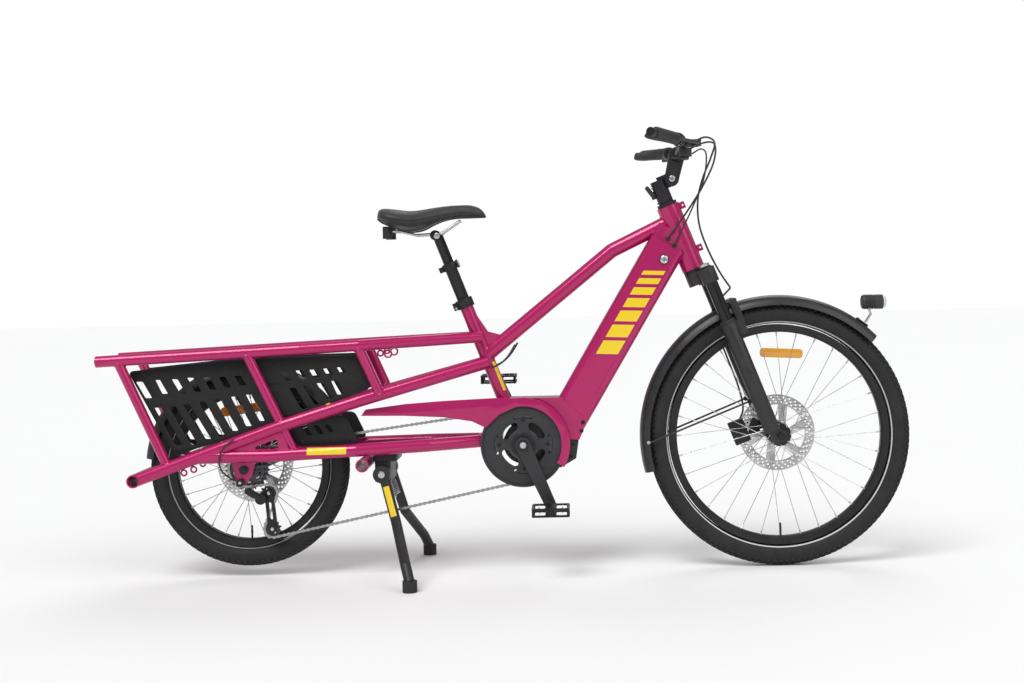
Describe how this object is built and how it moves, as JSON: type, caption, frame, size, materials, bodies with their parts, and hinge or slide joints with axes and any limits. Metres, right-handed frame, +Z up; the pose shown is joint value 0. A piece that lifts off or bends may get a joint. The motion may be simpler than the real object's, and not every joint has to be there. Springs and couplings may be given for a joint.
{
  "type": "cargo bicycle",
  "caption": "Long-tail electric cargo bicycle with a tubular rack over a small rear wheel, step-through frame, suspension fork, fenders and a two-leg kickstand.",
  "frame": {"origin": "on the ground, centred on the overall length and width, with the bicycle standing on its kickstand", "axes": "+X forward, +Z up, -Y the drive side (the rider's right)"},
  "size_m": [2.0806, 0.7104, 1.113],
  "materials": {
    "frame_paint": "gloss magenta paint with clear coat",
    "black_casing": "fine moulded texture",
    "fender_black": "satin black",
    "skirt_black": "satin black",
    "black_alloy": "black anodised, satin",
    "stand_black": "satin powder coat",
    "stanchion_steel": "dark polished",
    "steel": "machined",
    "spoke_steel": "polished",
    "rim_alloy": "black anodised",
    "tyre_rubber": "treaded rubber with a reflective stripe",
    "grip_rubber": "soft matt rubber",
    "cable_black": "smooth cable outer",
    "drive_black": "moulded",
    "saddle_cover": "black synthetic leather"
  },
  "bodies": {
    "frame": {"main_frame": "frame_paint", "rear_frame_right": "frame_paint", "rear_frame_left": "frame_paint", "rack_cross_tubes": "frame_paint", "battery": "black_casing", "battery_cover": "frame_paint", "motor_unit": "black_casing", "chain_guard": "frame_paint", "wheel_skirts": "skirt_black", "rear_fender": "fender_black", "seat_clamp": "black_alloy", "kickstand_bracket": "stand_black", "rear_caliper": "black_alloy", "headset_cups": "black_alloy", "rear_axle": "steel", "chain": "steel", "frame_cables": "cable_black", "derailleur_mount": "black_alloy"},
    "derailleur": {"derailleur_body": "black_alloy"},
    "derailleur_arm": {"derailleur_cage": "black_alloy"},
    "jockey_upper": {"jockey_upper": "drive_black"},
    "jockey_lower": {"jockey_lower": "drive_black"},
    "kickstand": {"kickstand_legs": "stand_black", "kickstand_feet": "grip_rubber"},
    "steerer": {"fork_crown": "black_alloy", "fork_stanchions": "stanchion_steel", "stem_base": "black_alloy", "control_cables": "cable_black"},
    "stem_lever": {"stem_lever": "black_alloy"},
    "lower_fork": {"fork_lowers": "black_alloy", "front_axle": "steel", "front_fender": "fender_black", "headlight": "black_casing", "front_caliper": "black_alloy"},
    "front_wheel": {"front_hub": "black_alloy", "front_rim": "rim_alloy", "front_spokes": "spoke_steel", "front_tyre": "tyre_rubber", "front_rotor": "steel"},
    "handlebars": {"stem_arm": "black_alloy", "handlebar": "black_alloy", "grips": "grip_rubber", "brake_bodies": "black_alloy"},
    "brake_lever_right": {"brake_lever_right": "black_alloy"},
    "brake_lever_left": {"brake_lever_left": "black_alloy"},
    "shift_lever": {"shift_lever": "drive_black"},
    "rear_wheel": {"rear_hub": "black_alloy", "rear_rim": "rim_alloy", "rear_spokes": "spoke_steel", "rear_tyre": "tyre_rubber", "rear_rotor": "steel"},
    "cassette": {"cassette": "steel"},
    "crank": {"crank_arms": "black_alloy", "chainring": "drive_black"},
    "pedal_right": {"pedal_right": "drive_black"},
    "pedal_left": {"pedal_left": "drive_black"},
    "seatpost_sleeve": {"seatpost_sleeve": "black_alloy"},
    "saddle": {"seatpost": "black_alloy", "saddle_rails": "steel", "saddle": "saddle_cover"}
  },
  "joints": [
    {"name": "steering", "type": "hinge", "parent": "frame", "child": "steerer", "pos_m": [0.45926, 0, 0.84728], "axis": [-0.3616, 0, 0.9323], "range_deg": [-60, 60], "deforming": ["control_cables"]},
    {"name": "fork_travel", "type": "slide", "parent": "steerer", "child": "lower_fork", "axis": [-0.3616, 0, 0.9323], "range_m": [0, 0.065], "stiffness_N_per_m": 8000, "springref_m": -0.02, "deforming": ["control_cables"]},
    {"name": "front_wheel_spin", "type": "hinge", "parent": "lower_fork", "child": "front_wheel", "pos_m": [0.7, 0, 0.34], "axis": [0, 1, 0], "continuous": true},
    {"name": "handlebar_tilt", "type": "hinge", "parent": "steerer", "child": "handlebars", "pos_m": [0.43569, 0, 1.0076], "axis": [0, 1, 0], "range_deg": [-30, 30], "deforming": ["control_cables"]},
    {"name": "stem_lever_open", "type": "hinge", "parent": "steerer", "child": "stem_lever", "pos_m": [0.38678, 0, 0.96503], "axis": [0, -1, 0], "range_deg": [0, 100]},
    {"name": "brake_lever_right_pull", "type": "hinge", "parent": "handlebars", "child": "brake_lever_right", "pos_m": [0.48848, -0.206, 1.08181], "axis": [0, 0, -1], "range_deg": [0, 12], "stiffness_Nm_per_rad": 3, "springref_deg": -5.73},
    {"name": "brake_lever_left_pull", "type": "hinge", "parent": "handlebars", "child": "brake_lever_left", "pos_m": [0.48848, 0.206, 1.08181], "axis": [0, 0, 1], "range_deg": [0, 12], "stiffness_Nm_per_rad": 3, "springref_deg": -5.73},
    {"name": "shift_lever_push", "type": "hinge", "parent": "handlebars", "child": "shift_lever", "pos_m": [0.46248, -0.14, 1.05081], "axis": [0, 0, 1], "range_deg": [0, 25], "stiffness_Nm_per_rad": 0.5, "springref_deg": -5.73},
    {"name": "rear_wheel_spin", "type": "hinge", "parent": "frame", "child": "rear_wheel", "pos_m": [-0.674, 0, 0.284], "axis": [0, 1, 0], "continuous": true},
    {"name": "crank_spin", "type": "hinge", "parent": "frame", "child": "crank", "pos_m": [0.038, 0, 0.332], "axis": [0, 1, 0], "continuous": true, "deforming": ["chain"]},
    {"name": "cassette_spin", "type": "hinge", "parent": "frame", "child": "cassette", "pos_m": [-0.674, 0, 0.284], "axis": [0, 1, 0], "continuous": true, "deforming": ["chain"]},
    {"name": "pedal_right_spin", "type": "hinge", "parent": "crank", "child": "pedal_right", "pos_m": [0.10686, -0.076, 0.17439], "axis": [0, 1, 0], "continuous": true},
    {"name": "pedal_left_spin", "type": "hinge", "parent": "crank", "child": "pedal_left", "pos_m": [-0.03086, 0.076, 0.48961], "axis": [0, 1, 0], "continuous": true},
    {"name": "derailleur_shift", "type": "slide", "parent": "frame", "child": "derailleur", "axis": [0, 1, 0], "range_m": [-0.014, 0.012], "deforming": ["chain", "frame_cables"]},
    {"name": "derailleur_swing", "type": "hinge", "parent": "derailleur", "child": "derailleur_arm", "pos_m": [-0.636, -0.049, 0.207], "axis": [0, 1, 0], "range_deg": [-20, 25], "stiffness_Nm_per_rad": 2, "deforming": ["chain"]},
    {"name": "jockey_upper_spin", "type": "hinge", "parent": "derailleur_arm", "child": "jockey_upper", "pos_m": [-0.618, -0.049, 0.22], "axis": [0, 1, 0], "continuous": true, "deforming": ["chain"]},
    {"name": "jockey_lower_spin", "type": "hinge", "parent": "derailleur_arm", "child": "jockey_lower", "pos_m": [-0.61, -0.049, 0.128], "axis": [0, 1, 0], "continuous": true, "deforming": ["chain"]},
    {"name": "kickstand_fold", "type": "hinge", "parent": "frame", "child": "kickstand", "pos_m": [-0.323, 0, 0.266], "axis": [0, 1, 0], "range_deg": [0, 92]},
    {"name": "seatpost_sleeve_slide", "type": "slide", "parent": "frame", "child": "seatpost_sleeve", "axis": [-0.3567, 0, 0.9342], "range_m": [-0.07, 0.06]},
    {"name": "seatpost_slide", "type": "slide", "parent": "seatpost_sleeve", "child": "saddle", "axis": [-0.3567, 0, 0.9342], "range_m": [-0.06, 0.08]}
  ],
  "couplings": [
    {"joint": "cassette_spin", "follows": "crank_spin", "ratio": 2},
    {"joint": "jockey_upper_spin", "follows": "crank_spin", "ratio": -4.1818},
    {"joint": "jockey_lower_spin", "follows": "crank_spin", "ratio": 4.1818}
  ]
}
